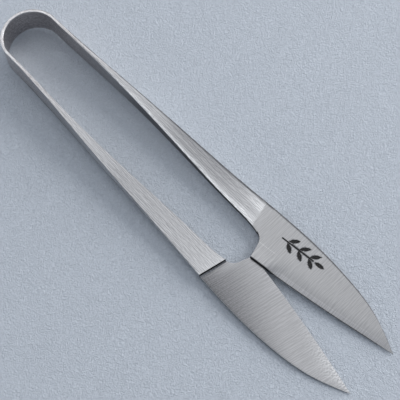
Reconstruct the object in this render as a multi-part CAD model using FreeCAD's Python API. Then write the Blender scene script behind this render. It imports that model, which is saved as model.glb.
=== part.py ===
import FreeCAD, Part
import math
import os

# Floral snips: a one-piece spring shear for cutting flower stems.
#
# A bar of soft iron is forged into a U. Its bend is a thin, tall strip, the spring bow.
# Its two arms grow wider and flatter towards the front, and each ends in a blade that
# takes up half of the arm's thickness. A plate of cutting steel is forge-welded to the
# inner face of each blade. Squeezing the arms bends the bow, and the blades slide
# across each other like scissors without a pivot.
#
# Millimetres. The shapes are drawn with the outside of the bow at y = 0, the tips
# towards +Y and the cutting plane at z = 0. They are then moved so that the origin is
# the centre of the snips' length and width, at the height they rest on.

# Overall size
LENGTH = 150.0

# Spring bow: a half ring of thin strip standing on its edge
BOW_RADIUS = 9.0
BOW_THICKNESS = 0.9
STRIP_HEIGHT = 9.4
CROWN_HALF_ANGLE = 20.0

# Right arm in plan: outer and inner edge, from the end of the bow to the shoulder
ARM_OUTER_MIDDLE = (11.2, 50.0)
ARM_OUTER_FRONT = (13.5, 90.0)
ARM_INNER_BACK = (8.45, 30.0)
ARM_INNER_MIDDLE = (8.05, 55.0)
ARM_INNER_FRONT = (6.6, 90.0)

# Shoulder: the arm's end face, where the upper half of its thickness stops
SHOULDER_OUTER = (14.1, 97.8)
SHOULDER_INNER = (5.8, 99.4)

# Height of the arm above and below the cutting plane, at stations along the arm
ARM_HALF_HEIGHTS = ((28.0, 4.3), (50.0, 2.85), (70.0, 1.75), (85.0, 1.1))
SHOULDER_HALF_HEIGHT = 0.95

# Right blade in plan: the choil's hollow, the heel, the cutting edge and the spine
CHOIL_MIDDLE = (4.85, 101.5)
CHOIL_END = (3.5, 102.25)
HEEL = (-0.6, 103.6)
TIP = (7.8, LENGTH)
EDGE_BELLY = 0.55
SPINE_BACK = (14.7, 112.0)
SPINE_MIDDLE = (14.1, 127.0)
SPINE_FRONT = (12.0, 139.2)

# Blade section
BLADE_CLEARANCE = 0.08
TIP_THICKNESS = 0.6
STEEL_THICKNESS = 0.4
EDGE_THICKNESS = 0.12
BEVEL_WIDTH = 5.0

# Hollow ground into the inner face, deepest at the shoulder and gone near the tip
HOLLOW_RADIUS = 120.0
HOLLOW_DEPTH = 0.14
HOLLOW_BACK = (7.4, SHOULDER_OUTER[1])
HOLLOW_FRONT = (9.4, 143.0)

# Leaf sprig stamped into the outer face of the upper blade
SPRIG_BACK = (-9.6, 105.5)
SPRIG_FRONT = (-10.9, 116.5)
SPRIG_DEPTH = 0.1
STEM_WIDTH = 0.4
LEAF_LENGTH = 3.2
LEAF_BULGE = 0.55
LEAF_ANGLE = 38.0
LEAF_PAIRS = 3
LEAF_GAP = 0.45

# Half the room that a cutting tool needs around the whole object
REACH = 20.0


def point(place, z=0.0):
    return FreeCAD.Vector(place[0], place[1], z)


def line(start, end):
    return Part.LineSegment(point(start), point(end)).toShape()


def arc(start, middle, end):
    return Part.Arc(point(start), point(middle), point(end)).toShape()


def smooth(places, start_direction=None):
    """A smooth curve through places, leaving the first one along start_direction."""
    curve = Part.BSplineCurve()
    points = [point(place) for place in places]
    if start_direction is None:
        curve.interpolate(Points=points)
    else:
        chord = (points[-1] - points[-2]).normalize()
        curve.interpolate(
            Points=points,
            InitialTangent=start_direction,
            FinalTangent=chord,
        )
    return curve.toShape()


def prism(edges, low, high):
    """The solid over a closed plan outline, between two heights."""
    face = Part.Face(Part.Wire(Part.__sortEdges__(edges)))
    face.translate(FreeCAD.Vector(0, 0, low))
    return face.extrude(FreeCAD.Vector(0, 0, high - low))


def other_side(solid):
    """The same solid on the other arm: half a turn about the long axis."""
    turned = solid.copy()
    turned.rotate(FreeCAD.Vector(0, 0, 0), FreeCAD.Vector(0, 1, 0), 180.0)
    return turned


def on_ring(radius, degrees):
    """A place on the bow, at an angle from the middle of its bend."""
    angle = math.radians(degrees)
    return (radius * math.sin(angle), BOW_RADIUS - radius * math.cos(angle))


def bow_piece(start, end):
    """The stretch of the bow between two angles from the middle of its bend."""
    middle = (start + end) / 2
    inner_radius = BOW_RADIUS - BOW_THICKNESS
    outer = [on_ring(BOW_RADIUS, angle) for angle in (start, middle, end)]
    inner = [on_ring(inner_radius, angle) for angle in (start, middle, end)]
    edges = [
        arc(*outer),
        line(outer[2], inner[2]),
        arc(*inner),
        line(inner[0], outer[0]),
    ]
    return prism(edges, -STRIP_HEIGHT / 2, STRIP_HEIGHT / 2)


def arm_side_profile():
    """The arm seen from its side, as a solid right across the snips."""
    stations = [(BOW_RADIUS, STRIP_HEIGHT / 2), *ARM_HALF_HEIGHTS]
    stations.append((SHOULDER_INNER[1], SHOULDER_HALF_HEIGHT))
    level = FreeCAD.Vector(0, 1, 0)
    edges = []
    for side in (1, -1):
        places = [FreeCAD.Vector(0, y, side * height) for y, height in stations]
        slope = (places[-1] - places[-2]).normalize()
        curve = Part.BSplineCurve()
        curve.interpolate(Points=places, InitialTangent=level, FinalTangent=slope)
        edges.append(curve.toShape())
    for y, height in (stations[0], stations[-1]):
        low = FreeCAD.Vector(0, y, -height)
        high = FreeCAD.Vector(0, y, height)
        edges.append(Part.LineSegment(low, high).toShape())
    face = Part.Face(Part.Wire(Part.__sortEdges__(edges)))
    return face.extrude(FreeCAD.Vector(REACH, 0, 0))


def right_arm():
    """The arm from the bow to the shoulder: its plan shape cut to its side profile."""
    along = FreeCAD.Vector(0, 1, 0)
    outer_start = (BOW_RADIUS, BOW_RADIUS)
    inner_start = (BOW_RADIUS - BOW_THICKNESS, BOW_RADIUS)
    outer = [outer_start, ARM_OUTER_MIDDLE, ARM_OUTER_FRONT, SHOULDER_OUTER]
    inner = [inner_start, ARM_INNER_BACK, ARM_INNER_MIDDLE]
    inner += [ARM_INNER_FRONT, SHOULDER_INNER]
    edges = [
        smooth(outer, along),
        line(SHOULDER_OUTER, SHOULDER_INNER),
        smooth(inner, along),
        line(inner_start, outer_start),
    ]
    return prism(edges, -STRIP_HEIGHT, STRIP_HEIGHT).common(arm_side_profile())


def edge_middle():
    """The middle of the cutting edge, which bellies out a little from straight."""
    run_x = TIP[0] - HEEL[0]
    run_y = TIP[1] - HEEL[1]
    chord = math.hypot(run_x, run_y)
    x = (HEEL[0] + TIP[0]) / 2 - EDGE_BELLY * run_y / chord
    y = (HEEL[1] + TIP[1]) / 2 + EDGE_BELLY * run_x / chord
    return (x, y)


def bevel_cone():
    """Everything behind the blade's ground bevel, which follows the cutting edge."""
    edge = arc(HEEL, edge_middle(), TIP).Curve
    rise = SHOULDER_HALF_HEIGHT - EDGE_THICKNESS
    narrowing = BEVEL_WIDTH / rise
    above = 1.0
    below = 2.0
    foot = FreeCAD.Vector(edge.Center.x, edge.Center.y, above)
    top_radius = edge.Radius + narrowing * (above + EDGE_THICKNESS)
    bottom_radius = top_radius - narrowing * (above + below)
    down = FreeCAD.Vector(0, 0, -1)
    return Part.makeCone(top_radius, bottom_radius, above + below, foot, down)


def thickness_wedge():
    """The room between the cutting plane and the blade's outer face."""
    back = SHOULDER_OUTER[1]
    corners = [
        (back, -BLADE_CLEARANCE / 2),
        (LENGTH, -BLADE_CLEARANCE / 2),
        (LENGTH, -TIP_THICKNESS),
        (back, -SHOULDER_HALF_HEIGHT),
    ]
    places = [FreeCAD.Vector(-REACH, y, z) for y, z in corners]
    face = Part.Face(Part.makePolygon(places + places[:1]))
    return face.extrude(FreeCAD.Vector(2 * REACH, 0, 0))


def hollow_grind():
    """A large wheel's cut in the blade's inner face, running out towards the tip."""
    face_level = -BLADE_CLEARANCE / 2
    back = point(HOLLOW_BACK, face_level - HOLLOW_DEPTH + HOLLOW_RADIUS)
    front = point(HOLLOW_FRONT, face_level + HOLLOW_RADIUS)
    run = front - back
    start = back - run * 0.1
    return Part.makeCylinder(HOLLOW_RADIUS, run.Length * 1.1, start, run)


def right_blade():
    """The whole lower blade, before it is divided into iron and steel."""
    spine = [SHOULDER_OUTER, SPINE_BACK, SPINE_MIDDLE, SPINE_FRONT, TIP]
    edges = [
        line(SHOULDER_OUTER, SHOULDER_INNER),
        arc(SHOULDER_INNER, CHOIL_MIDDLE, CHOIL_END),
        line(CHOIL_END, HEEL),
        arc(HEEL, edge_middle(), TIP),
        smooth(spine),
    ]
    blank = prism(edges, -SHOULDER_HALF_HEIGHT, 0.0)
    ground = blank.common(thickness_wedge()).common(bevel_cone())
    return ground.cut(hollow_grind())


def layer(solid, low, high):
    """The part of a solid between two heights."""
    slab = Part.makeBox(
        2 * REACH,
        LENGTH,
        high - low,
        FreeCAD.Vector(-REACH, REACH, low),
    )
    return solid.common(slab)


def leaf(root, degrees):
    """One pointed leaf, a little way from its root along a direction, as a cutter."""
    angle = math.radians(degrees)
    along = (math.cos(angle), math.sin(angle))
    ends = []
    for distance in (LEAF_GAP, LEAF_GAP + LEAF_LENGTH):
        ends.append((root[0] + distance * along[0], root[1] + distance * along[1]))
    middle = ((ends[0][0] + ends[1][0]) / 2, (ends[0][1] + ends[1][1]) / 2)
    sides = []
    for bulge in (LEAF_BULGE, -LEAF_BULGE):
        crest = (middle[0] - bulge * along[1], middle[1] + bulge * along[0])
        sides.append(arc(ends[0], crest, ends[1]))
    return prism(sides, SPRIG_DEPTH, 2 * SHOULDER_HALF_HEIGHT)


def sprig():
    """A stem, pairs of leaves beside it and a leaf beyond its end, as cutters."""
    run = (SPRIG_FRONT[0] - SPRIG_BACK[0], SPRIG_FRONT[1] - SPRIG_BACK[1])
    heading = math.degrees(math.atan2(run[1], run[0]))
    stem = Part.makeBox(
        math.hypot(*run),
        STEM_WIDTH,
        2 * SHOULDER_HALF_HEIGHT,
        FreeCAD.Vector(0, -STEM_WIDTH / 2, SPRIG_DEPTH),
    )
    stem.rotate(FreeCAD.Vector(0, 0, 0), FreeCAD.Vector(0, 0, 1), heading)
    stem.translate(point(SPRIG_BACK))
    cutters = [stem, leaf(SPRIG_FRONT, heading)]
    for index in range(LEAF_PAIRS):
        share = (index + 0.5) / LEAF_PAIRS
        root = (SPRIG_BACK[0] + share * run[0], SPRIG_BACK[1] + share * run[1])
        for turn in (LEAF_ANGLE, -LEAF_ANGLE):
            cutters.append(leaf(root, heading + turn))
    return cutters


def stamped(blade):
    """The upper blade's back with the sprig sunk into its sloping outer face."""
    slope = (SHOULDER_HALF_HEIGHT - TIP_THICKNESS) / (LENGTH - SHOULDER_OUTER[1])
    hinge = FreeCAD.Vector(0, SHOULDER_OUTER[1], SHOULDER_HALF_HEIGHT)
    for cutter in sprig():
        cutter.translate(FreeCAD.Vector(0, 0, SHOULDER_HALF_HEIGHT - 2 * SPRIG_DEPTH))
        cutter.rotate(hinge, FreeCAD.Vector(1, 0, 0), -math.degrees(math.atan(slope)))
        blade = blade.cut(cutter)
    return blade


def save(shape, name):
    placed = shape.copy()
    placed.translate(FreeCAD.Vector(0, -LENGTH / 2, STRIP_HEIGHT / 2))
    solid = placed.Solids[0]
    if len(placed.Solids) != 1 or not solid.isValid():
        raise RuntimeError(name + " is not one sound solid")
    solid.exportStep("parts/" + name + ".step")
    print(name, round(solid.Volume, 2), "mm3")


def main():
    os.makedirs("parts", exist_ok=True)

    right_leg = bow_piece(CROWN_HALF_ANGLE, 90.0)
    save(bow_piece(-CROWN_HALF_ANGLE, CROWN_HALF_ANGLE), "bow_crown")
    save(right_leg, "bow_right_leg")
    save(other_side(right_leg), "bow_left_leg")

    arm = right_arm()
    save(arm, "right_arm")
    save(other_side(arm), "left_arm")

    blade = right_blade()
    back = layer(blade, -2 * SHOULDER_HALF_HEIGHT, -STEEL_THICKNESS)
    steel = layer(blade, -STEEL_THICKNESS, SHOULDER_HALF_HEIGHT)
    save(back, "lower_blade_back")
    save(steel, "lower_cutting_steel")
    save(stamped(other_side(back)), "upper_blade_back")
    save(other_side(steel), "upper_cutting_steel")


main()
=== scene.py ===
import math

import bmesh
import bpy
import numpy as np
from mathutils import Matrix, Vector


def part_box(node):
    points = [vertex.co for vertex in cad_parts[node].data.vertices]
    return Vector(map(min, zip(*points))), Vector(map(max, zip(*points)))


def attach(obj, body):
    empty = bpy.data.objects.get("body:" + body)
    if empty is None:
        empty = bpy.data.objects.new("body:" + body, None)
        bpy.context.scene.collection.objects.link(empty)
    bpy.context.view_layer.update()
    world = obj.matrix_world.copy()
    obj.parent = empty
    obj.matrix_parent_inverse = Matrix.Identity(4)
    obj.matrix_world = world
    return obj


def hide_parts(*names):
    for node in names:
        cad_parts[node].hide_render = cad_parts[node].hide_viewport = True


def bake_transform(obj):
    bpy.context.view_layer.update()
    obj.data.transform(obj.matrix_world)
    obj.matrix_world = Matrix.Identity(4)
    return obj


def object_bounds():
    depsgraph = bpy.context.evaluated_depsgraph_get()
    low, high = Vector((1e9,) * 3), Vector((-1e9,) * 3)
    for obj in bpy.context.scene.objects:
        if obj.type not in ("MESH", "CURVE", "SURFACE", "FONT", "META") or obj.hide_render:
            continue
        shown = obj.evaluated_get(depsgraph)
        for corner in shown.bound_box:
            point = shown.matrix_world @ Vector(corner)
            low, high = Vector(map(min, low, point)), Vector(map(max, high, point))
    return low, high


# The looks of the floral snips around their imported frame.
#
# Shapes are drawn in millimetres, with the outside of the bow at y = 0, the tips
# towards +Y and the cutting plane at z = 0, for the right half only. The left half is
# the same shape after half a turn about the long axis. to_frame() then moves the
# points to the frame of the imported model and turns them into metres.

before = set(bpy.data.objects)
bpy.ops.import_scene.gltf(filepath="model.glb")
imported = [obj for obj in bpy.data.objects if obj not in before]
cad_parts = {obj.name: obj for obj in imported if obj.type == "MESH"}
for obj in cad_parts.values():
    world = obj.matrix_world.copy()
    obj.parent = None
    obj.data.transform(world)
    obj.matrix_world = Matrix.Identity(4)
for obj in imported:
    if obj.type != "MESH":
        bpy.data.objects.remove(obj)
cad_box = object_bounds()

MM = 0.001

# Overall sizes, read from the frame
CROWN_LOW, CROWN_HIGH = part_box("bow_crown")
LENGTH = (cad_box[1][1] - cad_box[0][1]) / MM
STRIP_HEIGHT = (CROWN_HIGH.z - CROWN_LOW.z) / MM

# Spring bow
BOW_RADIUS = 9.0
BOW_THICKNESS = 0.9
CROWN_HALF_ANGLE = 20.0
BOW_STEP_DEGREES = 1.25
BOW_END_DEGREES = 0.1

# Right arm in plan, and its half height at stations along it
ARM_OUTER = [(9.0, 9.0), (11.2, 50.0), (13.5, 90.0), (14.1, 97.8)]
ARM_INNER = [(8.1, 9.0), (8.45, 30.0), (8.05, 55.0), (6.6, 90.0), (5.8, 99.4)]
ARM_INNER_END_RUN = (-0.24, 0.97)
ARM_HALF_HEIGHTS = [(9.0, 4.7), (28.0, 4.3), (50.0, 2.85), (70.0, 1.75), (85.0, 1.1)]
SHOULDER_HALF_HEIGHT = 0.95
SHOULDER_Y = 99.4
ARM_STATIONS = 150
ARM_FIRST_SHARE = 0.001
FINISH_STATIONS = 6

# Where the blade's crosswise finish starts on the outer side of the arm
FINISH_OUTER_Y = 94.7
FINISH_INNER_Y = 97.1

# Edges and faces of the bar, with their unevenness faded out at both ends of the arm
CORNER_RADIUS = 0.09
CORNER_STEPS = 4
FACE_STEPS = 10
FACE_SPACING = 12.0
TOP_CROWN = 0.02
FORGING_WAVE = 0.008
FACET_DROP = 0.10
FACET_ACROSS = [(0.45, 0.0), (1.0, 1.0)]
UNEVEN_ALONG = [(9.0, 0.0), (29.0, 1.0), (87.0, 1.0), (97.0, 0.0)]

# Riser at the shoulder: how far its foot runs out onto the blade
FOOT_OUTER = 1.0
FOOT_INNER = 0.35
RISER_SLOPE = 0.35
RISER_DEPTH = 0.15
RISER_BACK = 0.05
RISER_SINK = 0.01
RISER_UNDERLAP = 0.004
RISER_STATIONS = 40
RISER_STEPS = 12

# Right blade in plan
CHOIL_MIDDLE = (4.9, 101.3)
CHOIL_END = (3.5, 102.25)
HEEL = (-0.6, 103.6)
TIP = (7.8, LENGTH)
EDGE_BELLY = 0.55
SPINE = [(14.1, 97.8), (14.7, 112.0), (14.1, 127.0), (12.0, 139.2), TIP]
CHOIL_RIBS = 16
HEEL_RIBS = 10
EDGE_RIBS = 120

# Blade section
BLADE_CLEARANCE = 0.08
TIP_THICKNESS = 0.6
STEEL_THICKNESS = 0.4
EDGE_THICKNESS = 0.12
BEVEL_WIDTH = 5.0
SPINE_ROUNDING = 0.14
INNER_ROUNDING = 0.14
FRONT_ROUNDING = 0.2
FRONT_EASING = 0.03
INNER_STEPS = 30
OUTER_STEPS = 34
WALL_SHARES = (0.25, 0.5, 0.75)
EASING_DEGREES = (45, 90)

# The first point on the outer side of a ring: after the front, the inner face, the
# easing and the wall
OUTER_START = 1 + INNER_STEPS + 1 + len(EASING_DEGREES) + len(WALL_SHARES)

# The first of the edge, by the heel, is left blunt
BLUNT_THICKNESS = 0.82
BLUNT_END_Y = 113.0
BLUNT_RUN = 5.0

# The bevel's ridge is crisp at the heel and fades out along the blade
RIDGE_SOFTNESS = 0.05
RIDGE_SOFTNESS_FRONT = 0.35
RIDGE_LINE = 0.3
RIDGE_CRISP_Y = 105.0
RIDGE_FADE_RUN = 10.0

# Direction of the blade's finish, across it
INNER_GRAIN = (0.983, -0.184)
OUTER_GRAIN = (0.999, -0.035)

# Hollow ground inner face
HOLLOW_SOFTNESS = 0.006
HOLLOW_RADIUS = 120.0
HOLLOW_DEPTH = 0.14
HOLLOW_BACK = (7.4, 97.8)
HOLLOW_FRONT = (9.4, 143.0)

# Leaf sprig stamped into the upper blade, drawn on the left half
SPRIG_BACK = (-9.6, 105.5)
SPRIG_FRONT = (-10.9, 116.5)
SPRIG_DEPTH = 0.1
SPRIG_CUTTER_TOP = 0.5
STEM_WIDTH = 0.4
LEAF_LENGTH = 3.2
LEAF_BULGE = 0.55
LEAF_ANGLE = 38.0
LEAF_PAIRS = 3
LEAF_GAP = 0.45

# Shades say how a surface's colour is kept and painted: 1 is bright, for rubbed metal and
# painted highlights, 0.5 is plain metal, 0 is dark, for forging scale and painted shade, and
# -1 is painted black shadow. Those of the bar, by distance along it
# The broad faces: a painted highlight on the bow's rim, lighter near the bow and darker from
# 60 to 78 mm along the arms
FACE_SHADES = [
    (9, 0.82), (20, 0.68), (45, 0.60), (60, 0.38), (78, 0.42), (93, 0.60), (99, 0.72),
]
# The outer side is painted lighter towards the blades: painted light on the wall
OUTER_SIDE_SHADES = [(20, 0.60), (35, 0.60), (50, 0.85), (70, 0.75), (85, 1.0)]
# The inner side is painted darker towards the blades, down to black: painted shade
INNER_SIDE_SHADES = [(35, 0.42), (80, -0.68)]
FINISH_SHADE = 0.57
# The outer corner of each outer face is painted dark, a painted shade line, faded in from
# the bow
DARK_CORNER_SHADE = -0.15
DARK_CORNER_ALONG = [(9, 0.0), (19, 1.0)]

# What is added on the outer face of an arm: a duller stretch, the inner part painted bright
# as rubbed wear and painted highlight, a painted highlight streak, and a painted highlight
# patch by the blade's finish
DULL_ALONG = [(50, 0.0), (65, -0.13), (89, -0.13), (95, 0.0)]
RUBBED_AND_HIGHLIGHT_ALONG = [(20, 0.0), (40, 1.0), (92, 1.0), (98, 0.0)]
RUBBED_AND_HIGHLIGHT_ACROSS = [(0.38, 0.0), (0.73, 0.40), (0.84, 0.40), (0.94, 0.90)]
STREAK_ALONG = [(40, 0.0), (50, 0.14), (70, 0.14), (82, 0.0)]
STREAK_PLACE = -0.15
STREAK_SWAY = 0.2
STREAK_SWAY_RUN = 9.0
STREAK_WIDTH = 0.13
PATCH_ALONG = [(87, 0.0), (91, 0.24)]
PATCH_PLACE = 0.45
PATCH_ACROSS = [(0.198, 1.0), (0.528, 0.0)]

# Shades of the riser, from its top down, painted black to dark as painted shade, and of the
# blades
RISER_SHADES = [(0.0, -1.0), (0.4, -0.9), (0.55, 0.3)]
# The blunt front wall at the heel is painted black: a painted shadow in the gap between the
# blades
BLUNT_WALL_SHADE = -1.0
SHARP_WALL_SHADE = 0.6
SHARP_WALL_HEIGHT = 0.25
# A painted highlight line along the easing at the spine of the inner face
EASING_SHADE = 1.0
# The spine's wall and outer corner are painted dark: painted shade lines
SPINE_WALL_SHADE = -0.3
SPINE_CORNER_SHADE = -0.1
# The iron's outer face: darker towards the tip and lighter at the tip itself, painted light
# on the bevel and a painted highlight line on the ridge
IRON_SHADES = [(97, 0.54), (110, 0.49), (125, 0.44), (143, 0.42), (150, 0.52)]
BEVEL_SHADES = [(-2.0, 0.08), (0.0, 0.0)]
RIDGE_SHADES = [(107, 0.34), (110, 0.0)]
# The steel's inner face is painted darker at the shoulder and spine and lighter towards the
# edge and tip: painted shade
STEEL_SHADE = 0.14
STEEL_EDGE_SHADE = 0.30
STEEL_TIP_SHADE = 0.40
STEEL_TIP_ALONG = [(100, 0.0), (142, 1.0)]

# The last of the bevel, along the edge, is painted dark: a painted shade line along the edge
EDGE_SHADE = -0.5

# Colours that the shades lead to: dark scale and painted shade, painted black shadow, and
# rubbed metal and painted highlight
SCALE_AND_SHADE_COLOUR = (0.10, 0.10, 0.108)
PAINTED_SHADOW_COLOUR = (0.012, 0.012, 0.014)
RUBBED_AND_HIGHLIGHT_COLOUR = (0.88, 0.88, 0.88)

# The bow's colours and mottle, and how far along the bar they fade into the arms'
# The bow's colours lean warm: a painted reflection of warm surroundings. The mottle is the
# metal's own
BOW_DARK = (0.38, 0.35, 0.345)
BOW_LIGHT = (0.66, 0.63, 0.63)
MOTTLE_FADE = (16.0, 48.0)
MOTTLE_SIZE = (1.3, 1.3)
MOTTLE_WEIGHT = 0.6

# Grinding lines: cycles per millimetre along and across the grain, and their pitch
LINES = (0.03, 3.0, 0.62)
FINE_LINES = (0.16, 4.6, 0.42)
CHIP_PITCH = 1.7
SCRATCH_DEPTH = 0.001

# How noise thins the scale and painted shade and breaks up the rubbed places and painted
# highlights: the noise's low and high values, and what is left at each. Scale and painted
# shade are rougher, rubbed metal and painted highlights smoother
SCALE_AND_SHADE_BY_LINES = (0.3, 0.7, 1.0, 0.9)
SCALE_AND_SHADE_BY_MOTTLE = (0.3, 0.7, 1.0, 0.8)
RUBBED_AND_HIGHLIGHT_BY_CHIPS = (0.40, 0.60, 0.25, 1.0)
SCALE_AND_SHADE_ROUGHER = 0.08
RUBBED_AND_HIGHLIGHT_SMOOTHER = 0.06

# The metals. dark and light are the ends of the colour's range, rough the least and greatest
# roughness. weights say how much lines, fine lines and mottle count, and contrast how far
# they drive the colour apart. chip is how close the breaks in the rubbed places and painted
# highlights lie, along and across the grain, speck how close the mottle lies, and stroke how
# much shorter and finer than LINES the lines are. Mottled metal also carries the bow's
# coarser mottle and its colours, which fade out along the arms.
ARM_METAL = {
    "dark": (0.36, 0.358, 0.366),
    "light": (0.575, 0.573, 0.58),
    "rough": (0.29, 0.41),
    "weights": (0.38, 0.46, 0.15),
    "contrast": 0.17,
    "anisotropy": 0.55,
    "chip": (0.5, 4.0),
    "speck": (2.6, 3.2),
    "stroke": (3.0, 1.25),
    "mottled": True,
}
BOW_METAL = {
    **ARM_METAL,
    "dark": BOW_DARK,
    "light": BOW_LIGHT,
    "rough": (0.28, 0.40),
    "anisotropy": 0.45,
}
BLADE_IRON = {
    "dark": (0.43, 0.425, 0.43),
    "light": (0.515, 0.51, 0.51),
    "rough": (0.33, 0.41),
    "weights": (0.42, 0.45, 0.12),
    "contrast": 0.15,
    "anisotropy": 0.6,
    "chip": (0.4, 3.6),
    "speck": (2.6, 3.2),
    "stroke": (2.4, 1.1),
    "mottled": False,
}
CUTTING_STEEL = {
    **BLADE_IRON,
    "dark": (0.44, 0.435, 0.44),
    "light": (0.53, 0.525, 0.53),
    "rough": (0.31, 0.40),
    "chip": (1.6, 2.2),
    "speck": (2.2, 2.6),
}
MARK_COLOURS = (0.015, 0.014, 0.014), (0.12, 0.12, 0.12)
FLOOR_COLOURS = (0.625, 0.67, 0.73), (0.70, 0.745, 0.81)
SKY_COLOUR = (0.80, 0.88, 1.0, 1.0)

# Mesh clean-up: points nearer than this are one, and sharper edges are hard
JOIN_DISTANCE = 0.0015
FLAT_DISTANCE = 0.0005
SHARP_DEGREES = 32.0

# Floor, light and camera
FLOOR_REACH = 3.0
FLOOR_GRAIN = 1350.0
FLOOR_EMBOSS = 0.46
FLOOR_GAP = 0.02
REST_STEPS = 6
WORLD_STRENGTH = 0.34
SOFTBOXES = [
    ("overhead", (-0.26, -0.43, 1.05), 1.0, 2.5),
    ("key", (-1.1, 0.25, 0.42), 1.1, 15.7),
    ("low_fill", (1.2, -0.35, 0.25), 0.5, 1.0),
]
CAMERA_PLACE = (96.48, 169.45, 408.98)
CAMERA_TARGET = (-1.28, 6.0, 4.7)
CAMERA_ROLL = -12.27
CAMERA_LENS = 144.8


# Curves and placing


def cubic(knots, values, first=None, last=None):
    """A cubic spline through values at knots, with end slopes where they are given."""
    knots = np.asarray(knots, float)
    values = np.asarray(values, float).reshape(len(knots), -1)
    count = len(knots)
    gaps = np.diff(knots)
    slopes = np.diff(values, axis=0) / gaps[:, None]
    matrix = np.zeros((count, count))
    right = np.zeros_like(values)
    for i in range(1, count - 1):
        matrix[i, i - 1 : i + 2] = gaps[i - 1], 2 * (gaps[i - 1] + gaps[i]), gaps[i]
        right[i] = 6 * (slopes[i] - slopes[i - 1])
    matrix[0, 0] = matrix[-1, -1] = 1.0
    if first is not None:
        matrix[0, :2] = 2 * gaps[0], gaps[0]
        right[0] = 6 * (slopes[0] - np.asarray(first))
    if last is not None:
        matrix[-1, -2:] = gaps[-1], 2 * gaps[-1]
        right[-1] = 6 * (np.asarray(last) - slopes[-1])
    bends = np.linalg.solve(matrix, right)

    def at(where):
        where = np.atleast_1d(np.asarray(where, float))
        i = np.clip(np.searchsorted(knots, where, side="right") - 1, 0, count - 2)
        gap = gaps[i][:, None]
        a = (knots[i + 1] - where)[:, None] / gap
        b = 1 - a
        curve = (a**3 - a) * bends[i] + (b**3 - b) * bends[i + 1]
        return a * values[i] + b * values[i + 1] + curve * gap**2 / 6

    return at


def smooth_line(places, first=None, last=None):
    """A plan curve through places, run over by a parameter from 0 to 1."""
    places = np.asarray(places, float)
    run = np.r_[0, np.cumsum(np.linalg.norm(np.diff(places, axis=0), axis=1))]
    curve = cubic(run, places, first, last)
    return lambda share: curve(np.asarray(share, float) * run[-1])


def by_table(table, where):
    """Values at places, in straight lines between a table's rows of place and value."""
    places, values = zip(*table)
    return np.interp(where, places, values)


def unit(vector):
    vector = np.asarray(vector, float)
    return vector / np.linalg.norm(vector)


def arc_through(start, middle, end, count):
    """Points on the circle arc through three plan points."""
    (ax, ay), (bx, by), (cx, cy) = start, middle, end
    twice = 2 * (ax * (by - cy) + bx * (cy - ay) + cx * (ay - by))
    sa, sb, sc = ax**2 + ay**2, bx**2 + by**2, cx**2 + cy**2
    x = (sa * (by - cy) + sb * (cy - ay) + sc * (ay - by)) / twice
    y = (sa * (cx - bx) + sb * (ax - cx) + sc * (bx - ax)) / twice
    turns = [math.atan2(py - y, px - x) for px, py in (start, middle, end)]
    turns = np.unwrap(turns)
    angles = np.linspace(turns[0], turns[2], count)
    radius = math.hypot(ax - x, ay - y)
    places = np.stack([x + radius * np.cos(angles), y + radius * np.sin(angles)], 1)
    return places, np.array([x, y]), radius


def to_frame(points, left=False):
    """Millimetre points of the right half, as metres in the frame on either half."""
    points = np.array(points, float)
    if left:
        points *= (-1, 1, -1)
    points += (0, -LENGTH / 2, STRIP_HEIGHT / 2)
    return points * MM


# Meshes


def new_piece(name, points, faces, face_slots, uvs, fields, materials):
    """A mesh object from points and faces, with its grain map and point fields."""
    mesh = bpy.data.meshes.new(name)
    mesh.from_pydata([tuple(p) for p in points], [], faces)
    grain = mesh.uv_layers.new(name="grain")
    grain.data.foreach_set("uv", np.concatenate(uvs).astype(np.float32).ravel())
    for key, values in fields.items():
        field = mesh.attributes.new(key, "FLOAT", "POINT")
        field.data.foreach_set("value", np.asarray(values, np.float32).ravel())
    for material in materials:
        mesh.materials.append(material)
    mesh.polygons.foreach_set("material_index", face_slots)
    mesh.update()
    piece = bpy.data.objects.new(name, mesh)
    bpy.context.scene.collection.objects.link(piece)
    return piece


def finish_mesh(piece):
    """Joins doubled points, turns faces outward and marks hard edges as sharp."""
    work = bmesh.new()
    work.from_mesh(piece.data)
    bmesh.ops.remove_doubles(work, verts=work.verts, dist=JOIN_DISTANCE * MM)
    bmesh.ops.dissolve_degenerate(work, edges=work.edges, dist=FLAT_DISTANCE * MM)
    bmesh.ops.recalc_face_normals(work, faces=work.faces)
    limit = math.radians(SHARP_DEGREES)
    for face in work.faces:
        face.smooth = True
    for edge in work.edges:
        if len(edge.link_faces) == 2:
            edge.smooth = edge.calc_face_angle(0.0) < limit
    work.to_mesh(piece.data)
    work.free()
    shading = piece.modifiers.new("even_shading", "WEIGHTED_NORMAL")
    shading.keep_sharp = True
    shading.weight = 60
    return piece


def loft(sections):
    """Quads between rings of points, and a face over each end."""
    rings, around = sections.shape[:2]
    faces = []
    for i in range(rings - 1):
        for k in range(around):
            n = (k + 1) % around
            quad = (i, k), (i, n), (i + 1, n), (i + 1, k)
            faces.append([a * around + b for a, b in quad])
    last = (rings - 1) * around
    faces.append(list(range(around))[::-1])
    faces.append([last + k for k in range(around)])
    return faces


# The bar: bow and arms


def arm_edges():
    outer = smooth_line(ARM_OUTER, first=(0, 1))
    inner = smooth_line(ARM_INNER, first=(0, 1), last=ARM_INNER_END_RUN)
    return outer, inner


HEIGHT_TABLE = [*ARM_HALF_HEIGHTS, (SHOULDER_Y, SHOULDER_HALF_HEIGHT)]
HALF_HEIGHT = cubic(*zip(*HEIGHT_TABLE), first=(0,))


def half_height(y):
    """The bar's height above the cutting plane, on over the blade to the tip."""
    y = np.asarray(y, float)
    arm = HALF_HEIGHT(np.clip(y, BOW_RADIUS, SHOULDER_Y).ravel())[:, 0].reshape(y.shape)
    fall = (SHOULDER_HALF_HEIGHT - TIP_THICKNESS) / (LENGTH - SHOULDER_Y)
    return arm - fall * np.maximum(y - SHOULDER_Y, 0)


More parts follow.
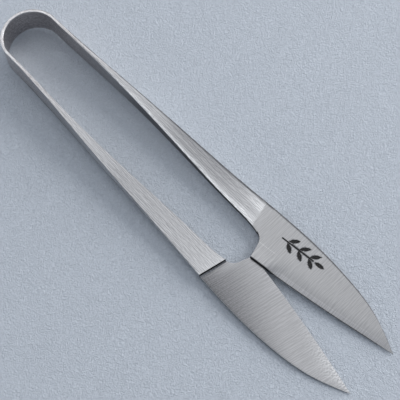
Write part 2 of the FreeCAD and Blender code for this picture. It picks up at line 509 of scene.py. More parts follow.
def share_at(curve, y):
    """How far along a curve it reaches a given y."""
    shares = np.linspace(0, 1, 400)
    return np.interp(y, curve(shares)[:, 1], shares)


def wave(along, across):
    """The slow unevenness that forging and grinding leave in a face."""
    slow = np.sin(along / 3.1 + 0.9 * across) * np.sin(along / 7.3 + 1.7)
    return 0.6 * slow + 0.4 * np.sin(along / 1.9 + 2.3 * across + 0.6)


def bar_section(outer, inner, height, unevenness, facet=0.0):
    """One ring of points round the bar, and where each lies across and up it."""
    outer, inner = np.asarray(outer), np.asarray(inner)
    middle = (outer + inner) / 2
    thick = np.linalg.norm(outer - inner)
    across = (outer - inner) / thick
    half = thick / 2
    corner = min(CORNER_RADIUS, 0.3 * thick)
    sides = [(1, 1), (1, -1), (-1, -1), (-1, 1)]
    places, rounded = [], []
    for index, (side_a, side_z) in enumerate(sides):
        for step in range(CORNER_STEPS + 1):
            angle = math.radians(90 - 90 * index - 90 * step / CORNER_STEPS)
            a = side_a * (half - corner) + corner * math.cos(angle)
            z = side_z * (height - corner) + corner * math.sin(angle)
            places.append((a, z))
            rounded.append(True)
        next_a, next_z = sides[(index + 1) % 4]
        angle = math.radians(-90 * index)
        end_a = next_a * (half - corner) + corner * math.cos(angle)
        end_z = next_z * (height - corner) + corner * math.sin(angle)
        for share in np.arange(1, FACE_STEPS) / FACE_STEPS:
            places.append((a + share * (end_a - a), z + share * (end_z - z)))
            rounded.append(False)
    places = np.array(places)
    share_a = places[:, 0] / half
    share_z = places[:, 1] / height
    level = abs(share_z) > 0.5
    hump = TOP_CROWN * share_a**2 + unevenness * (1 + wave(middle[1], 1.3 * share_a)) / 2
    hump += facet * by_table(FACET_ACROSS, -share_a) * (share_z < 0)
    places[:, 1] -= np.sign(share_z) * hump * level
    bow_out = unevenness * wave(middle[1] + 11, share_z) * (1 - share_z**4)
    places[:, 0] -= np.sign(share_a) * bow_out * ~level
    ring = np.empty((len(places), 3))
    ring[:, :2] = middle + places[:, :1] * across
    ring[:, 2] = places[:, 1]
    return ring, np.stack([share_a, share_z, np.array(rounded, float)], 1)


def ring_runs(ring):
    """Distances round a ring, closed back to its first point."""
    steps = np.linalg.norm(np.roll(ring, -1, axis=0) - ring, axis=1)
    return np.r_[0, np.cumsum(steps)]


def runs_by_face(ring):
    """Distances across the ring's faces, each from its own middle, at each step's ends."""
    runs = ring_runs(ring)
    steps = CORNER_STEPS + FACE_STEPS
    face = np.arange(len(ring)) // steps
    middle = (runs[face * steps + CORNER_STEPS] + runs[(face + 1) * steps]) / 2
    offset = FACE_SPACING * face - middle
    return np.stack([runs[:-1] + offset, runs[1:] + offset], 1)


def bar_piece(name, rings, shades, along, left, materials, slots=None):
    """A stretch of the bar, with its grain along it."""
    rings = np.array(rings)
    count, around = rings.shape[:2]
    faces = loft(rings)
    runs = np.array([runs_by_face(ring) for ring in rings])
    uvs = []
    for i in range(count - 1):
        for near, far in zip(runs[i], runs[i + 1]):
            u = along[i], along[i], along[i + 1], along[i + 1]
            v = near[0], near[1], far[1], far[0]
            uvs.append(np.stack([u, v], 1))
    for ring in (rings[0][::-1], rings[-1]):
        uvs.append(ring[:, [0, 2]])
    face_slots = slots if slots is not None else [0] * len(faces)
    points = to_frame(rings.reshape(-1, 3), left)
    fields = {"shade": np.concatenate(shades)}
    return new_piece(name, points, faces, face_slots, uvs, fields, materials)


def bow_rings(start, end):
    """Rings round the bow between two angles from its middle, close together at the ends."""
    steps = max(2, round((end - start) / BOW_STEP_DEGREES))
    main = np.linspace(start, end, steps + 1)[1:-1]
    angles = np.r_[start, start + BOW_END_DEGREES, main, end - BOW_END_DEGREES, end]
    rings, shades = [], []
    for angle in np.radians(angles):
        direction = np.array([math.sin(angle), -math.cos(angle)])
        centre = np.array([0, BOW_RADIUS])
        outer = centre + BOW_RADIUS * direction
        inner = centre + (BOW_RADIUS - BOW_THICKNESS) * direction
        ring, spots = bar_section(outer, inner, STRIP_HEIGHT / 2, 0.0)
        rings.append(ring)
        shades.append(bar_shade(spots, np.full(len(spots), BOW_RADIUS)))
    return rings, shades, np.radians(angles) * BOW_RADIUS


def bar_shade(spots, y):
    """How the bar's surface is kept at the spots of a ring.

    The broad faces are ground bright, with a painted highlight on the bow's rim. The inner
    side is painted darker towards the blades, down to black, as painted shade, and the outer
    side is painted lighter as painted light. The outer corner of each outer face carries a
    painted dark line of shade. The inner part of the outer face is painted bright, most of
    all at its corner: rubbed wear and painted highlight, with a painted highlight streak and
    patch.
    """
    share_a, share_z, rounded = spots.T
    broad = np.abs(share_z) > 0.9
    outer_face = share_z < 0
    inner_side, outer_side = by_table(INNER_SIDE_SHADES, y), by_table(OUTER_SIDE_SHADES, y)
    side = np.where(share_a < 0, inner_side, outer_side)
    shade = np.where(broad, by_table(FACE_SHADES, y), side)
    added = by_table(DULL_ALONG, y)
    added = added + by_table(RUBBED_AND_HIGHLIGHT_ALONG, y) * by_table(RUBBED_AND_HIGHLIGHT_ACROSS, -share_a)
    streak = STREAK_PLACE + STREAK_SWAY * np.sin(y / STREAK_SWAY_RUN)
    streak = np.exp(-(((share_a - streak) / STREAK_WIDTH) ** 2))
    added = added + streak * by_table(STREAK_ALONG, y)
    finish = np.interp(share_a, (-1, 1), (FINISH_INNER_Y, FINISH_OUTER_Y)) + 0.01
    patch = by_table(PATCH_ACROSS, np.abs(share_a - PATCH_PLACE))
    added = added + patch * by_table(PATCH_ALONG, y) * (y < finish)
    shade = shade + broad * outer_face * added
    shade = np.where(broad & outer_face & (y > finish), FINISH_SHADE, shade)
    corner = (rounded > 0) & (share_a > 0) & outer_face
    dark = corner * by_table(DARK_CORNER_ALONG, y)
    return shade + dark * (DARK_CORNER_SHADE - shade)


def arm_rings():
    """Rings along the arm. Their slant grows until they lie along the shoulder."""
    outer_line, inner_line = arm_edges()
    outer_end = share_at(outer_line, FINISH_OUTER_Y)
    inner_end = share_at(inner_line, FINISH_INNER_Y)
    main = np.linspace(0, 1, ARM_STATIONS)
    main = np.r_[0, ARM_FIRST_SHARE, main[1:]]
    last = np.linspace(0, 1, FINISH_STATIONS + 1)[1:]
    outer_shares = np.r_[main * outer_end, outer_end + last * (1 - outer_end)]
    inner_shares = np.r_[main * inner_end, inner_end + last * (1 - inner_end)]
    outers, inners = outer_line(outer_shares), inner_line(inner_shares)
    rings, shades = [], []
    for outer, inner in zip(outers, inners):
        y = (outer[1] + inner[1]) / 2
        height = float(half_height(y))
        fade = by_table(UNEVEN_ALONG, y)
        wave_height, facet = FORGING_WAVE * fade, FACET_DROP * fade
        ring, spots = bar_section(outer, inner, height, wave_height, facet)
        top = np.abs(ring[:, 2]) / height
        ring[:, 2] += np.sign(ring[:, 2]) * top * (half_height(ring[:, 1]) - height)
        rings.append(ring)
        shades.append(bar_shade(spots, ring[:, 1]))
    middles = (outers + inners) / 2
    steps = np.linalg.norm(np.diff(middles, axis=0), axis=1)
    along = BOW_RADIUS * math.pi / 2 + np.r_[0, np.cumsum(steps)]
    return rings, shades, along, len(main) - 1


def arm_piece(name, left, materials):
    """An arm with the crosswise finish of its blade on the last of its outer face."""
    rings, shades, along, finish = arm_rings()
    around = len(rings[0])
    slots = []
    for i in range(len(rings) - 1):
        low = rings[i][:, 2] < -0.7 * float(half_height(rings[i][:, 1].mean()))
        for k in range(around):
            ground = i >= finish and low[k] and low[(k + 1) % around]
            slots.append(1 if ground else 0)
    slots += [0, 0]
    piece = bar_piece(name, rings, shades, along, left, materials, slots)
    turn_grain(piece, left)
    add_riser(piece, left)
    return finish_mesh(piece)


def turn_grain(piece, left):
    """Lays the grain of the faces in the second slot across the blade."""
    grain = piece.data.uv_layers["grain"]
    for face in piece.data.polygons:
        if face.material_index == 1:
            for loop in face.loop_indices:
                place = piece.data.vertices[piece.data.loops[loop].vertex_index].co
                grain.data[loop].uv = cross_grain(place, left, OUTER_GRAIN)


def cross_grain(place, left, direction):
    """Coordinates in millimetres along a blade's grinding lines, then across them."""
    x = place[0] / MM * (-1 if left else 1)
    y = place[1] / MM + LENGTH / 2
    z = (place[2] - STRIP_HEIGHT * MM / 2) / MM
    along = direction[0] * x + direction[1] * y
    across = -direction[1] * x + direction[0] * y
    return along, across + 0.5 * z


def add_riser(piece, left):
    """Adds the concave step from the shoulder down to the blade's inner face."""
    outer_line, inner_line = arm_edges()
    outer, inner = outer_line(1.0)[0], inner_line(1.0)[0]
    forward = unit((inner[1] - outer[1], outer[0] - inner[0]))
    sections = []
    for share in np.linspace(0, 1, RISER_STATIONS):
        place = inner + share * (outer - inner)
        run = FOOT_INNER + (FOOT_OUTER - FOOT_INNER) * share
        top = float(half_height(place[1])) - TOP_CROWN * (2 * share - 1) ** 2
        edge = min(share, 1 - share) * np.linalg.norm(outer - inner)
        if edge < CORNER_RADIUS:
            rise = math.sqrt(CORNER_RADIUS**2 - (CORNER_RADIUS - edge) ** 2)
            top -= CORNER_RADIUS - rise
        foot = place + run * forward
        level = inner_level(foot) - RISER_SINK
        section = []
        for step in range(RISER_STEPS + 1):
            q = step / RISER_STEPS
            hollow = 1 - math.sqrt(max(0.0, 1 - q**2))
            ahead = run * (RISER_SLOPE * q + (1 - RISER_SLOPE) * hollow)
            spot = place + ahead * forward
            section.append((*spot, top + q * (level - top)))
        behind = place - RISER_BACK * forward
        section.append((*foot, level - RISER_DEPTH))
        section.append((*behind, level - RISER_DEPTH))
        section.append((*behind, top - RISER_UNDERLAP))
        sections.append(section)
    sections = np.array(sections)
    faces = loft(sections)
    uvs = []
    flat = sections.reshape(-1, 3)
    for face in faces:
        spots = flat[face]
        uvs.append(np.stack([spots[:, 1] + spots[:, 2], spots[:, 0]], 1))
    steps = len(sections[0])
    # The riser is painted black at its top and lighter towards its foot: painted shade
    down = np.minimum(np.arange(steps) / RISER_STEPS, 1)
    fields = {"shade": np.tile(by_table(RISER_SHADES, down), len(sections))}
    slots = [0] * len(faces)
    points = to_frame(flat, left)
    riser = new_piece("riser", points, faces, slots, uvs, fields, piece.data.materials)
    work = bmesh.new()
    work.from_mesh(piece.data)
    work.from_mesh(riser.data)
    work.to_mesh(piece.data)
    work.free()
    bpy.data.objects.remove(riser)


# The blades


def edge_circle():
    """The cutting edge's circle: points on it, its centre and its radius."""
    heel, tip = np.array(HEEL), np.array(TIP)
    run = tip - heel
    out = np.array([-run[1], run[0]]) / np.linalg.norm(run)
    middle = (heel + tip) / 2 + EDGE_BELLY * out
    return arc_through(HEEL, tuple(middle), TIP, EDGE_RIBS + 1)


EDGE_LINE, EDGE_CENTRE, EDGE_RADIUS = edge_circle()


def inner_level(place):
    """The height of the blade's hollow ground inner face."""
    place = np.asarray(place, float)
    back, front = np.array(HOLLOW_BACK), np.array(HOLLOW_FRONT)
    run = front - back
    share = (place - back) @ run / (run @ run)
    side = (place - back) @ np.array([-run[1], run[0]]) / np.linalg.norm(run)
    depth = HOLLOW_DEPTH * (1 - share) - side**2 / (2 * HOLLOW_RADIUS)
    depth = (depth + np.sqrt(depth**2 + HOLLOW_SOFTNESS**2)) / 2
    return -BLADE_CLEARANCE / 2 - depth


def behind_edge(place):
    """How far a place is behind the cutting edge's circle."""
    return EDGE_RADIUS - np.linalg.norm(place - EDGE_CENTRE, axis=-1)


def outer_level(place):
    """The height of the blade's outer face, with its bevel eased into the flat."""
    place = np.asarray(place, float)
    flat = half_height(place[..., 1])
    behind = behind_edge(place)
    blunt = np.clip((BLUNT_END_Y - place[..., 1]) / BLUNT_RUN, 0, 1) ** 1.5
    foot = EDGE_THICKNESS + BLUNT_THICKNESS * blunt
    rise = (SHOULDER_HALF_HEIGHT - foot) / BEVEL_WIDTH
    bevel = BLADE_CLEARANCE / 2 + foot + rise * np.maximum(behind, 0)
    reach = np.clip((place[..., 1] - RIDGE_CRISP_Y) / RIDGE_FADE_RUN, 0, 1)
    soft = RIDGE_SOFTNESS + (RIDGE_SOFTNESS_FRONT - RIDGE_SOFTNESS) * reach
    near = np.maximum(soft - np.abs(flat - bevel), 0) / soft
    return -(np.minimum(flat, bevel) - near**2 * soft / 4)


def blade_front_line():
    """The blade's front outline: choil, heel and cutting edge."""
    choil, _, _ = arc_through(ARM_INNER[-1], CHOIL_MIDDLE, CHOIL_END, CHOIL_RIBS + 1)
    shares = np.linspace(0, 1, HEEL_RIBS + 1)[:, None]
    heel = np.array(CHOIL_END) + shares * (np.array(HEEL) - np.array(CHOIL_END))
    return np.concatenate([choil, heel[1:], EDGE_LINE[1:]])


def blade_sections():
    """Rings across the blade, each from its front outline to its spine."""
    fronts = blade_front_line()
    spine = smooth_line(SPINE)
    start, end = ARM_OUTER[-1][1], LENGTH
    reach = (fronts[:, 1] - fronts[0][1]) / (end - fronts[0][1])
    spines = spine(share_at(spine, start + reach * (end - start)))
    spines[-1] = fronts[-1]
    rings, shades = [], []
    for front, back in zip(fronts, spines):
        ring, shade = blade_ring(front, back)
        rings.append(ring)
        shades.append(shade)
    return np.array(rings), shades


def blade_ring(front, back):
    """One ring of points across the blade, and how each is kept."""
    run = np.linalg.norm(back - front)
    along = (back - front) / max(run, 1e-9)
    spine_high = float(inner_level(back))
    spine_low = float(outer_level(back))
    wall = spine_high - spine_low
    rounding = min(SPINE_ROUNDING, 0.3 * run, 0.45 * wall)
    easing = min(INNER_ROUNDING, 0.2 * run, 0.2 * wall)
    front_wall = float(inner_level(front) - outer_level(front))
    front_rounding = min(FRONT_ROUNDING, 0.25 * front_wall, 0.2 * run)
    front_easing = min(0.5 * front_rounding, FRONT_EASING)
    blunt = front_wall > SHARP_WALL_HEIGHT
    front_shade = BLUNT_WALL_SHADE if blunt else SHARP_WALL_SHADE
    ring, shade = [], []

    def add(distance, z, kept):
        ring.append((*(front + along * distance), z))
        shade.append(kept)

    add(0, float(inner_level(front)) - front_easing, front_shade)
    for share in np.linspace(0, 1, INNER_STEPS + 1):
        distance = front_easing + share * (run - easing - front_easing)
        place = front + along * distance
        add(distance, float(inner_level(place)), inner_shade(place, 1 - share))
    for angle in np.radians(EASING_DEGREES):
        back_off = easing * (1 - math.sin(angle))
        add(run - back_off, spine_high - easing * (1 - math.cos(angle)), EASING_SHADE)
    for share in WALL_SHARES:
        high, low = spine_high - easing, spine_low + rounding
        add(run, high + share * (low - high), SPINE_WALL_SHADE)
    level = float(outer_level(front + along * (run - rounding)))
    for step in range(CORNER_STEPS + 1):
        angle = math.radians(90 * step / CORNER_STEPS)
        back_off = rounding * (1 - math.cos(angle))
        low = spine_low + (level - spine_low) * step / CORNER_STEPS
        add(run - back_off, low + rounding * (1 - math.sin(angle)), SPINE_CORNER_SHADE)
    distances = outer_distances(front, along, run, front_rounding, rounding)
    for distance in distances:
        place = front + along * distance
        kept = outer_shade(place) if distance > distances[-1] else EDGE_SHADE
        add(distance, float(outer_level(place)), kept)
    low = float(outer_level(front))
    for angle in np.radians((30, 60, 90)):
        ahead = front_rounding * (1 - math.sin(angle))
        add(ahead, low + front_rounding * (1 - math.cos(angle)), front_shade)
    return ring, shade


def outer_distances(front, along, run, front_rounding, rounding):
    """Where a ring has its points on the outer face, with three close by the ridge."""
    tries = np.linspace(0, run, 300)
    ridge = np.interp(BEVEL_WIDTH, behind_edge(front + tries[:, None] * along), tries)
    start, end = front_rounding, run - rounding
    margin = min(0.3, 0.2 * (end - start))
    ridge = np.clip(ridge, start + margin, end - margin)
    half = min(RIDGE_LINE / 2, 0.4 * margin)
    back = np.linspace(end, ridge + half, OUTER_STEPS // 2 + 1)[1:]
    front_part = np.linspace(ridge - half, start, OUTER_STEPS // 2)
    return np.r_[back, ridge, front_part]


def inner_shade(place, across):
    """The steel is painted darker at the shoulder and spine and lighter towards the edge and
    tip, as painted shade.
    """
    tip = STEEL_TIP_SHADE * by_table(STEEL_TIP_ALONG, place[1]) ** 1.8
    return float(STEEL_SHADE + STEEL_EDGE_SHADE * across + tip)


def outer_shade(place):
    """The iron is darker towards the tip and lighter at the tip itself, with painted light
    on the bevel and a painted highlight along the ridge.
    """
    from_ridge = float(behind_edge(place)) - BEVEL_WIDTH
    shade = by_table(IRON_SHADES, place[1]) + by_table(BEVEL_SHADES, from_ridge)
    if abs(from_ridge) < RIDGE_LINE / 8:
        shade += by_table(RIDGE_SHADES, place[1])
    return float(shade)


def whole_blade(name, left, materials):
    rings, shades = blade_sections()
    flat = rings.reshape(-1, 3)
    faces = loft(rings)
    points = to_frame(flat, left)
    uvs = []
    for face in faces:
        outer = all(i % rings.shape[1] >= OUTER_START for i in face)
        direction = OUTER_GRAIN if outer else INNER_GRAIN
        uvs.append(np.array([cross_grain(points[i], left, direction) for i in face]))
    fields = {"shade": np.concatenate(shades)}
    return new_piece(name, points, faces, [0] * len(faces), uvs, fields, materials)


def layer(blade, name, low, high, left, materials):
    """The part of a blade between two heights of the right half, closed where cut."""
    work = bmesh.new()
    work.from_mesh(blade.data)
    bmesh.ops.remove_doubles(work, verts=work.verts, dist=JOIN_DISTANCE * MM)
    for level, side in ((low, -1), (high, 1)):
        if level is None:
            continue
        place = to_frame([(0, 0, level)], left)[0]
        direction = (0, 0, side * (-1 if left else 1))
        geometry = work.verts[:] + work.edges[:] + work.faces[:]
        cut = bmesh.ops.bisect_plane(
            work,
            geom=geometry,
            dist=1e-8,
            plane_co=place,
            plane_no=direction,
            clear_outer=True,
        )
        rim = [item for item in cut["geom_cut"] if isinstance(item, bmesh.types.BMEdge)]
        bmesh.ops.triangle_fill(work, use_beauty=True, edges=rim)
    mesh = bpy.data.meshes.new(name)
    work.to_mesh(mesh)
    work.free()
    for material in materials:
        mesh.materials.append(material)
    piece = bpy.data.objects.new(name, mesh)
    bpy.context.scene.collection.objects.link(piece)
    return piece


# The leaf sprig


def leaf_outline(root, degrees):
    angle = math.radians(degrees)
    along = np.array([math.cos(angle), math.sin(angle)])
    side = np.array([-along[1], along[0]])
    start = np.array(root) + LEAF_GAP * along
    end = start + LEAF_LENGTH * along
    middle = (start + end) / 2
    there, _, _ = arc_through(start, middle + LEAF_BULGE * side, end, 14)
    back, _, _ = arc_through(end, middle - LEAF_BULGE * side, start, 14)
    return np.concatenate([there, back[1:-1]])


def sprig_outlines():
    back, front = np.array(SPRIG_BACK), np.array(SPRIG_FRONT)
    run = front - back
    heading = math.degrees(math.atan2(run[1], run[0]))
    side = np.array([-run[1], run[0]]) / np.linalg.norm(run) * STEM_WIDTH / 2
    outlines = [np.array([back - side, front - side, front + side, back + side])]
    outlines.append(leaf_outline(front, heading))
    for index in range(LEAF_PAIRS):
        root = back + (index + 0.5) / LEAF_PAIRS * run
        for turn in (LEAF_ANGLE, -LEAF_ANGLE):
            outlines.append(leaf_outline(root, heading + turn))
    return outlines


def stamp(blade, materials):
    """Sinks the sprig into the upper blade's outer face."""
    work = bmesh.new()
    grain = work.loops.layers.uv.new("grain")
    for outline in sprig_outlines():
        rims = []
        for lift in (-SPRIG_DEPTH, SPRIG_CUTTER_TOP):
            levels = half_height(outline[:, 1]) + lift
            places = to_frame(np.c_[outline, levels])
            rims.append([work.verts.new(place) for place in places])
        count = len(outline)
        faces = [work.faces.new(rims[0][::-1]), work.faces.new(rims[1])]
        for k in range(count):
            n = (k + 1) % count
            quad = rims[0][k], rims[0][n], rims[1][n], rims[1][k]
            faces.append(work.faces.new(quad))
        for face in faces:
            face.material_index = 1
            for loop in face.loops:
                loop[grain].uv = cross_grain(loop.vert.co, True, OUTER_GRAIN)
    bmesh.ops.recalc_face_normals(work, faces=work.faces)
    mesh = bpy.data.meshes.new("sprig_cutter")
    work.to_mesh(mesh)
    work.free()
    for material in materials:
        mesh.materials.append(material)
    cutter = bpy.data.objects.new("sprig_cutter", mesh)
    bpy.context.scene.collection.objects.link(cutter)
    cut = blade.modifiers.new("stamp", "BOOLEAN")
    cut.operation = "DIFFERENCE"
    cut.solver = "EXACT"
    cut.object = cutter
    bpy.context.view_layer.update()
    evaluated = blade.evaluated_get(bpy.context.evaluated_depsgraph_get())
    stamped = bpy.data.meshes.new_from_object(evaluated)
    blade.modifiers.clear()
    blade.data = stamped
    bpy.data.objects.remove(cutter)


# Materials


class Nodes:
    """A small helper for building a material out of nodes."""

    def __init__(self, name):
        self.material = bpy.data.materials.new(name)
        self.material.use_nodes = True
        self.tree = self.material.node_tree
        self.shader = self.tree.nodes["Principled BSDF"]

    def add(self, kind, **settings):
        node = self.tree.nodes.new(kind)
        for key, value in settings.items():
            setattr(node, key, value)
        return node

    def link(self, source, target):
        self.tree.links.new(source, target)

    def math(self, operation, first, second=None, third=None):
        node = self.add("ShaderNodeMath", operation=operation)
        for index, value in enumerate((first, second, third)):
            if value is None:
                continue
            if isinstance(value, (int, float)):
                node.inputs[index].default_value = value
            else:
                self.link(value, node.inputs[index])
        return node.outputs[0]

    def grinding_lines(self, along, across, pitch, seed):
        """Lines along the grain: noise less the same noise half a pitch further on."""
        here = self.stretched_noise(along, across, 0.0, 0.5, seed)
        there = self.stretched_noise(along, across, 0.0, 0.5, seed, across * pitch / 2)
        return self.math("ADD", self.math("SUBTRACT", here, there), 0.5)

    def stretched_noise(self, along, across, detail, roughness, seed, ahead=0.0):
        """Noise drawn out along the grain: cycles per millimetre along and across it."""
        grain = self.add("ShaderNodeUVMap", uv_map="grain")
        scale = self.add("ShaderNodeMapping")
        scale.inputs["Scale"].default_value = (along, across, 1.0)
        scale.inputs["Location"].default_value = (seed, 2.3 * seed + ahead, seed)
        noise = self.add("ShaderNodeTexNoise", noise_dimensions="2D")
        noise.inputs["Scale"].default_value = 1.0
        noise.inputs["Detail"].default_value = detail
        noise.inputs["Roughness"].default_value = roughness
        self.link(grain.outputs[0], scale.inputs["Vector"])
        self.link(scale.outputs[0], noise.inputs["Vector"])
        return noise.outputs["Fac"]

    def grain_run(self):
        """The distance along the grain map."""
        grain = self.add("ShaderNodeUVMap", uv_map="grain")
        run = self.add("ShaderNodeSeparateXYZ")
        self.link(grain.outputs[0], run.inputs[0])
        return run.outputs["X"]

    def bump(self, height, depth):
        """Relief in the shading, as deep as depth in millimetres."""
        node = self.add("ShaderNodeBump")
        node.inputs["Strength"].default_value = 1.0
        node.inputs["Distance"].default_value = depth * MM
        self.link(height, node.inputs["Height"])
        self.link(node.outputs[0], self.shader.inputs["Normal"])

    def spread(self, value, low, high, to_low, to_high):
        node = self.add("ShaderNodeMapRange", interpolation_type="SMOOTHSTEP")
        node.inputs["From Min"].default_value = low
        node.inputs["From Max"].default_value = high
        node.inputs["To Min"].default_value = to_low
        node.inputs["To Max"].default_value = to_high
        self.link(value, node.inputs["Value"])
        return node.outputs[0]

    def blend_colours(self, share, first, second):
        node = self.add("ShaderNodeMix", data_type="RGBA")
        self.link(share, node.inputs[0])
        for socket, colour in ((node.inputs[6], first), (node.inputs[7], second)):
            if isinstance(colour, tuple):
                socket.default_value = (*colour, 1.0)
            else:
                self.link(colour, socket)
        return node.outputs[2]


def brushed_metal(name, metal):
    """Ground or brushed metal, drawn along its grain map, kept as its shades say and painted
    with the shade, shadow and highlight they carry.
    """
    n = Nodes(name)
    finer, closer = metal["stroke"]
    lines, fine = [
        n.grinding_lines(along * finer, across * closer, pitch / closer, seed)
        for (along, across, pitch), seed in ((LINES, 7.7), (FINE_LINES, 1.9))
    ]
    mottle = n.stretched_noise(*metal["speck"], 1.0, 0.5, 5.3)
    mixed = n.math("MULTIPLY", lines, metal["weights"][0])
    mixed = n.math("MULTIPLY_ADD", fine, metal["weights"][1], mixed)
    mixed = n.math("MULTIPLY_ADD", mottle, metal["weights"][2], mixed)
    by_bow = n.spread(n.grain_run(), *MOTTLE_FADE, 1.0, 0.0)
    if metal["mottled"]:
        patches = n.math("SUBTRACT", n.stretched_noise(*MOTTLE_SIZE, 1.0, 0.5, 5.3), 0.5)
        patches = n.math("MULTIPLY", patches, MOTTLE_WEIGHT)
        mixed = n.math("MULTIPLY_ADD", patches, by_bow, mixed)
    middle = sum(metal["weights"]) / 2
    low, high = middle - metal["contrast"], middle + metal["contrast"]
    tone = n.spread(mixed, low, high, 0.0, 1.0)
    colour = n.blend_colours(tone, metal["dark"], metal["light"])
    if metal["mottled"]:
        bow_colour = n.blend_colours(tone, BOW_DARK, BOW_LIGHT)
        colour = n.blend_colours(by_bow, colour, bow_colour)

    shade = n.add("ShaderNodeAttribute", attribute_name="shade").outputs["Fac"]
    chip_along, chip_across = metal["chip"]
    chips = n.grinding_lines(chip_along, chip_across, CHIP_PITCH / chip_across, 9.4)
    # scale is forging scale and painted shade: darker colour where the shade is below plain
    # metal
    scale = n.spread(shade, 0.0, 0.5, 1.0, 0.0)
    scale = n.math("MULTIPLY", scale, n.spread(lines, *SCALE_AND_SHADE_BY_LINES))
    scale = n.math("MULTIPLY", scale, n.spread(mottle, *SCALE_AND_SHADE_BY_MOTTLE))
    colour = n.blend_colours(scale, colour, SCALE_AND_SHADE_COLOUR)
    # Painted black shadow where the shade falls below 0
    painted_shadow = n.spread(shade, -1.0, 0.0, 1.0, 0.0)
    colour = n.blend_colours(painted_shadow, colour, PAINTED_SHADOW_COLOUR)
    # Rubbed metal and painted highlight where the shade is above plain metal
    rubbed_and_highlight = n.spread(shade, 0.5, 1.0, 0.0, 1.0)
    rubbed_and_highlight = n.math("MULTIPLY", rubbed_and_highlight, n.spread(chips, *RUBBED_AND_HIGHLIGHT_BY_CHIPS))
    colour = n.blend_colours(rubbed_and_highlight, colour, RUBBED_AND_HIGHLIGHT_COLOUR)
    n.link(colour, n.shader.inputs["Base Color"])

    smooth, matte = metal["rough"]
    rough = n.spread(mixed, low, high, matte, smooth)
    rough = n.math("MULTIPLY_ADD", scale, SCALE_AND_SHADE_ROUGHER, rough)
    rough = n.math("MULTIPLY_ADD", rubbed_and_highlight, -RUBBED_AND_HIGHLIGHT_SMOOTHER, rough)
    n.link(rough, n.shader.inputs["Roughness"])
    n.bump(n.math("MULTIPLY_ADD", fine, 0.5, lines), SCRATCH_DEPTH)

    n.shader.inputs["Metallic"].default_value = 1.0
    n.shader.inputs["Anisotropic"].default_value = metal["anisotropy"]
    n.shader.inputs["Anisotropic Rotation"].default_value = 0.25
    tangent = n.add("ShaderNodeTangent", direction_type="UV_MAP", uv_map="grain")
    n.link(tangent.outputs[0], n.shader.inputs["Tangent"])
    return n.material


def stamped_metal(name, dark, light):
    """The blackened floor of a stamped mark, with brighter metal showing in places."""
    n = Nodes(name)
    speck = n.stretched_noise(3.0, 5.0, 4.0, 0.7, 4.4)
    tone = n.spread(speck, 0.5, 0.8, 0.0, 1.0)
    n.link(n.blend_colours(tone, dark, light), n.shader.inputs["Base Color"])
    n.link(n.spread(speck, 0.3, 0.8, 0.75, 0.45), n.shader.inputs["Roughness"])
    n.bump(speck, 0.02)
    n.shader.inputs["Metallic"].default_value = 0.4
    return n.material


def pale_floor(name, dark, light):
    """Plain pale paper with a fine emboss."""
    n = Nodes(name)
    place = n.add("ShaderNodeTexCoord")
    grain = n.add("ShaderNodeTexNoise")
    grain.inputs["Scale"].default_value = FLOOR_GRAIN
    grain.inputs["Detail"].default_value = 3.0
    grain.inputs["Distortion"].default_value = 1.6
    n.link(place.outputs["Object"], grain.inputs["Vector"])
    tone = n.spread(grain.outputs["Fac"], 0.3, 0.7, 0.0, 1.0)
    n.link(n.blend_colours(tone, dark, light), n.shader.inputs["Base Color"])
    n.bump(grain.outputs["Fac"], FLOOR_EMBOSS)
    n.shader.inputs["Roughness"].default_value = 0.7
    n.shader.inputs["Specular IOR Level"].default_value = 0.2
    return n.material


# Putting the snips together


def build_bar(arm_metals, bow_metal):
    crown, shades, along = bow_rings(-CROWN_HALF_ANGLE, CROWN_HALF_ANGLE)
    piece = bar_piece("spring_crown", crown, shades, along, False, [bow_metal])
    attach(finish_mesh(piece), "bow")
    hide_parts("bow_crown")
    for side, left in (("left", True), ("right", False)):
        half = side + "_half"
        leg, shades, along = bow_rings(CROWN_HALF_ANGLE, 90.0)
        piece = bar_piece("spring_leg_" + side, leg, shades, along, left, [bow_metal])
        finish_mesh(piece)
        start, end = to_frame([bow_place(CROWN_HALF_ANGLE), bow_place(90.0)], left)
        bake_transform(piece)
        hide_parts("bow_" + side + "_leg")
        piece = arm_piece("arm_" + side, left, arm_metals)
        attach(piece, half)
        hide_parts(side + "_arm")


def bow_place(degrees):
    """The middle of the bow's strip, at an angle from the middle of its bend."""
    angle = math.radians(degrees)
    radius = BOW_RADIUS - BOW_THICKNESS / 2
    return (radius * math.sin(angle), BOW_RADIUS - radius * math.cos(angle), 0.0)


def build_blades(iron, steel, mark):
    weld = -STEEL_THICKNESS
    for side, level, left in (("left", "upper", True), ("right", "lower", False)):
        blade = whole_blade("blade", left, [iron])
        back = layer(blade, "blade_back_" + level, None, weld, left, [iron, mark])
        plate = layer(blade, "cutting_steel_" + level, weld, None, left, [steel])
        bpy.data.objects.remove(blade)
        if left:
            stamp(back, [iron, mark])
        parts = [
            (back, "_blade_back", "blade_iron"),
            (plate, "_cutting_steel", "cutting_steel"),
        ]
        for piece, node, slot in parts:
            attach(finish_mesh(piece), side + "_half")
            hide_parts(level + node)


# Floor, light and camera


def rest_points():
    """Where the snips touch a flat floor, one place by the bow and one by the tips."""
    rings = np.array(arm_rings()[0])
    blades, _ = blade_sections()
    half = np.concatenate([rings.reshape(-1, 3), blades.reshape(-1, 3)])
    spots = np.concatenate([half[:, 1:], half[:, 1:] * (1, -1)])
    behind, ahead = spots[spots[:, 0] < LENGTH / 2], spots[spots[:, 0] > LENGTH / 2]
    slope = 0.0
    for _ in range(REST_STEPS):
        back = behind[np.argmin(behind[:, 1] - slope * behind[:, 0])]
        front = ahead[np.argmin(ahead[:, 1] - slope * ahead[:, 0])]
        slope = (front[1] - back[1]) / (front[0] - back[0])
    return to_frame([(0, *back), (0, *front)])


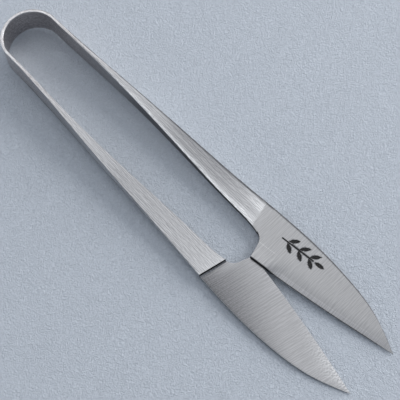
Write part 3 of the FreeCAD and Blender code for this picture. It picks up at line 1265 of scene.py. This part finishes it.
def build_floor(paper):
    back, front = (Vector(place) for place in rest_points())
    along = (front - back).normalized()
    middle = (front + back) / 2 - Vector((0, 0, FLOOR_GAP * MM))
    work = bmesh.new()
    corners = []
    for x, y in ((-1, -1), (1, -1), (1, 1), (-1, 1)):
        way = x * Vector((1, 0, 0)) + y * along
        corners.append(work.verts.new(middle + FLOOR_REACH * way))
    work.faces.new(corners)
    mesh = bpy.data.meshes.new("floor")
    work.to_mesh(mesh)
    work.free()
    mesh.materials.append(paper)
    floor = bpy.data.objects.new("floor", mesh)
    bpy.context.scene.collection.objects.link(floor)


def aim(thing, place, target, roll_degrees=0.0):
    """Puts a light or camera at a place, looking at a target."""
    look = (Vector(target) - Vector(place)).normalized()
    turned = look.to_track_quat("-Z", "Y").to_matrix().to_4x4()
    roll = Matrix.Rotation(math.radians(roll_degrees), 4, "Z")
    thing.matrix_world = Matrix.Translation(Vector(place)) @ turned @ roll


def softbox(name, place, size, watts):
    lamp = bpy.data.lights.new(name, "AREA")
    lamp.shape = "SQUARE"
    lamp.size = size
    lamp.energy = watts
    thing = bpy.data.objects.new(name, lamp)
    bpy.context.scene.collection.objects.link(thing)
    aim(thing, place, (0, 0, 0))


def build_light():
    world = bpy.data.worlds.new("studio")
    world.use_nodes = True
    sky = world.node_tree.nodes["Background"]
    sky.inputs["Color"].default_value = SKY_COLOUR
    sky.inputs["Strength"].default_value = WORLD_STRENGTH
    bpy.context.scene.world = world
    for box in SOFTBOXES:
        softbox(*box)


def build_camera():
    lens = bpy.data.cameras.new("camera")
    lens.sensor_width = 36.0
    lens.lens = CAMERA_LENS
    lens.clip_start = 0.01
    lens.clip_end = 50.0
    camera = bpy.data.objects.new("camera", lens)
    bpy.context.scene.collection.objects.link(camera)
    place = [c * MM for c in CAMERA_PLACE]
    target = [c * MM for c in CAMERA_TARGET]
    aim(camera, place, target, CAMERA_ROLL)
    bpy.context.scene.camera = camera


def main():
    arm = brushed_metal("arm_metal", ARM_METAL)
    bow = brushed_metal("bow_metal", BOW_METAL)
    iron = brushed_metal("blade_iron", BLADE_IRON)
    steel = brushed_metal("cutting_steel", CUTTING_STEEL)
    mark = stamped_metal("stamped_mark", *MARK_COLOURS)
    floor = pale_floor("floor", *FLOOR_COLOURS)

    build_bar([arm, iron], bow)
    build_blades(iron, steel, mark)
    build_floor(floor)
    build_light()
    build_camera()
    bpy.context.scene.view_settings.view_transform = "Standard"


main()
